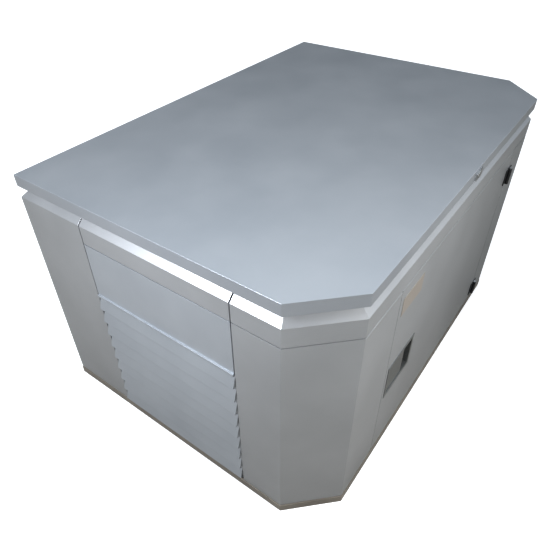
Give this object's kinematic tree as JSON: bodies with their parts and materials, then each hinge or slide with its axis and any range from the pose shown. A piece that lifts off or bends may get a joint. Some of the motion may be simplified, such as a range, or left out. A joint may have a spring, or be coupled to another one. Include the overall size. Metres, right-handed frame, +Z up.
{
  "type": "home standby generator",
  "caption": "Low lidded sheet-metal enclosure with clipped front corners, louvred ends and a service door, around a V-twin gas engine and alternator.",
  "frame": {"origin": "middle of the footprint on the floor, under the base tray", "axes": "+X along the enclosure towards the exhaust end, -Y out of the service door, +Z up"},
  "size_m": [1.2332, 0.8782, 0.694],
  "materials": {
    "powder_silver": "satin",
    "powder_louvre": "satin",
    "powder_lid": "satin",
    "base_bronze": "satin",
    "galvanised": "satin",
    "black_steel": "satin",
    "zinc_steel": "satin",
    "rubber_black": "matte",
    "acoustic_foam": "matte",
    "plate_foil": "satin",
    "latch_grey": "satin",
    "lock_chrome": "polished",
    "cast_aluminium": "matte",
    "cast_iron": "matte",
    "winding_core": "satin",
    "exhaust_steel": "matte",
    "black_plastic": "matte",
    "filter_white": "gloss",
    "yellow_plastic": "gloss",
    "red_plastic": "gloss",
    "brass_fittings": "satin",
    "control_grey": "satin"
  },
  "bodies": {
    "enclosure": {"base_tray": "base_bronze", "weather_seals": "rubber_black", "enclosure_frame": "galvanised", "door_surround": "galvanised", "rear_corner_panels": "powder_silver", "end_headers": "powder_silver", "end_louvres": "powder_louvre", "front_left_panel": "powder_silver", "front_rim": "powder_silver", "front_right_panel": "powder_silver", "back_panel": "powder_silver", "back_foam": "acoustic_foam", "bulkhead": "galvanised", "lid_hinge_frame_leaves": "zinc_steel", "door_hinge_frame_leaves": "black_steel", "hinge_pins": "zinc_steel", "engine_rails": "black_steel", "engine_mounts": "rubber_black", "mount_bolts": "zinc_steel", "engine_cradle": "black_steel", "crankcase": "cast_aluminium", "cylinders": "cast_iron", "cylinder_heads": "cast_aluminium", "valve_covers": "black_steel", "blower_housing": "black_plastic", "alternator_case": "cast_aluminium", "alternator_stator": "winding_core", "starter_motor": "black_steel", "oil_filter": "filter_white", "intake_manifold": "cast_aluminium", "gas_mixer": "cast_aluminium", "air_filter_box": "black_plastic", "muffler_and_pipes": "exhaust_steel", "battery": "black_plastic", "gas_coupling": "brass_fittings", "gas_regulator": "brass_fittings", "gas_pipe": "zinc_steel", "control_box": "control_grey"},
    "lid": {"lid_shell": "powder_lid", "lid_foam": "acoustic_foam", "lid_hinge_lid_leaves": "zinc_steel", "lid_lock_case": "zinc_steel"},
    "lid_lock": {"lid_lock_barrel": "lock_chrome"},
    "lid_prop": {"lid_stay": "zinc_steel"},
    "door": {"door_skin": "powder_silver", "door_foam": "acoustic_foam", "data_plate": "plate_foil", "door_hinge_door_leaves": "black_steel", "latch_dish": "latch_grey"},
    "paddle": {"latch_paddle": "latch_grey"},
    "bolt": {"latch_bolt": "zinc_steel"},
    "crank_group": {"crankshaft": "cast_iron", "flywheel_fan": "cast_iron", "alternator_rotor": "winding_core"},
    "dipstick": {"dipstick": "yellow_plastic"},
    "throttle": {"throttle_lever": "brass_fittings"},
    "gas_valve": {"gas_valve_lever": "yellow_plastic"},
    "mode_knob": {"mode_switch": "black_plastic"},
    "stop_cap": {"stop_button": "red_plastic"},
    "breaker": {"breaker_lever": "black_plastic"}
  },
  "joints": [
    {"name": "lid_hinge", "type": "hinge", "parent": "enclosure", "child": "lid", "pos_m": [0, 0.434, 0.655], "axis": [-1, 0, 0], "range_deg": [0, 80]},
    {"name": "lid_lock_turn", "type": "hinge", "parent": "lid", "child": "lid_lock", "pos_m": [0.02, -0.428, 0.676], "axis": [0, -1, 0], "range_deg": [0, 90]},
    {"name": "lid_prop_swing", "type": "hinge", "parent": "lid", "child": "lid_prop", "pos_m": [-0.54687, 0.2, 0.682], "axis": [1, 0, 0], "range_deg": [0, 75]},
    {"name": "door_hinge", "type": "hinge", "parent": "enclosure", "child": "door", "pos_m": [0.388, -0.4335, 0.3], "axis": [0, 0, 1], "range_deg": [0, 110]},
    {"name": "paddle_pull", "type": "hinge", "parent": "door", "child": "paddle", "pos_m": [-0.32275, -0.423, 0.288], "axis": [0, 0, -1], "range_deg": [0, 35], "stiffness_Nm_per_rad": 0.5},
    {"name": "bolt_slide", "type": "slide", "parent": "door", "child": "bolt", "axis": [1, 0, 0], "range_m": [0, 0.012]},
    {"name": "crank_spin", "type": "hinge", "parent": "enclosure", "child": "crank_group", "pos_m": [0, 0, 0.235], "axis": [1, 0, 0], "continuous": true},
    {"name": "dipstick_pull", "type": "slide", "parent": "enclosure", "child": "dipstick", "axis": [0, 0, 1], "range_m": [0, 0.2]},
    {"name": "throttle_turn", "type": "hinge", "parent": "enclosure", "child": "throttle", "pos_m": [0.105, 0, 0.53799], "axis": [1, 0, 0], "range_deg": [0, 75]},
    {"name": "gas_valve_turn", "type": "hinge", "parent": "enclosure", "child": "gas_valve", "pos_m": [-0.46, 0.341, 0.12], "axis": [0, 0, 1], "range_deg": [0, 90]},
    {"name": "mode_switch_turn", "type": "hinge", "parent": "enclosure", "child": "mode_knob", "pos_m": [-0.25675, -0.39587, 0.502], "axis": [0, -1, 0], "range_deg": [-45, 45]},
    {"name": "stop_button_press", "type": "slide", "parent": "enclosure", "child": "stop_cap", "axis": [0, 1, 0], "range_m": [0, 0.004], "stiffness_N_per_m": 400},
    {"name": "breaker_throw", "type": "hinge", "parent": "enclosure", "child": "breaker", "pos_m": [-0.12675, -0.38387, 0.502], "axis": [-1, 0, 0], "range_deg": [0, 30]}
  ],
  "couplings": [
    {"joint": "bolt_slide", "follows": "paddle_pull", "m_per_rad": 0.01964}
  ]
}
